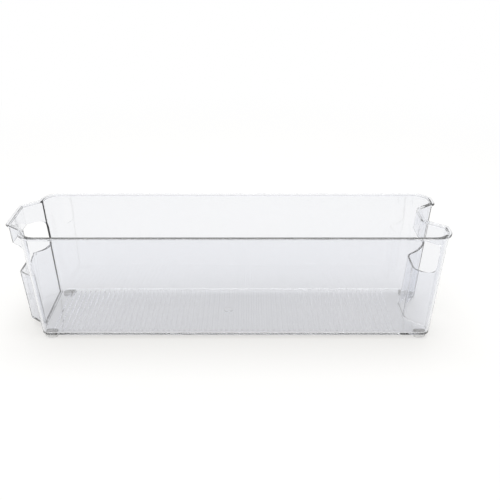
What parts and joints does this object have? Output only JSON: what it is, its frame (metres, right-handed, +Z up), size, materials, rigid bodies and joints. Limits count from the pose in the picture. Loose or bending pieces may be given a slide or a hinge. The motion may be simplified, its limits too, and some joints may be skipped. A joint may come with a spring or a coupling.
{
  "type": "fridge storage bin",
  "caption": "Long clear open-top fridge bin with drafted walls, a hand bay with a finger opening at one end, a hand recess with one at the other, and soft corner feet.",
  "frame": {"origin": "middle of the bounding box's lower face, level with the undersides of the feet", "axes": "+Z up; +X along the bin, towards the end with the hand recess; -X is the end with the hand bay; -Y is the front in the picture"},
  "size_m": [0.372, 0.105, 0.1],
  "materials": {
    "clear_plastic": "clear PET, injection moulded in a polished mould, smooth and glossy inside and out",
    "clear_gel": "clear soft elastomer, slightly cloudy, satin"
  },
  "bodies": {
    "root": {"bin": "clear_plastic", "foot_front_left": "clear_gel", "foot_front_right": "clear_gel", "foot_back_left": "clear_gel", "foot_back_right": "clear_gel"}
  },
  "joints": []
}
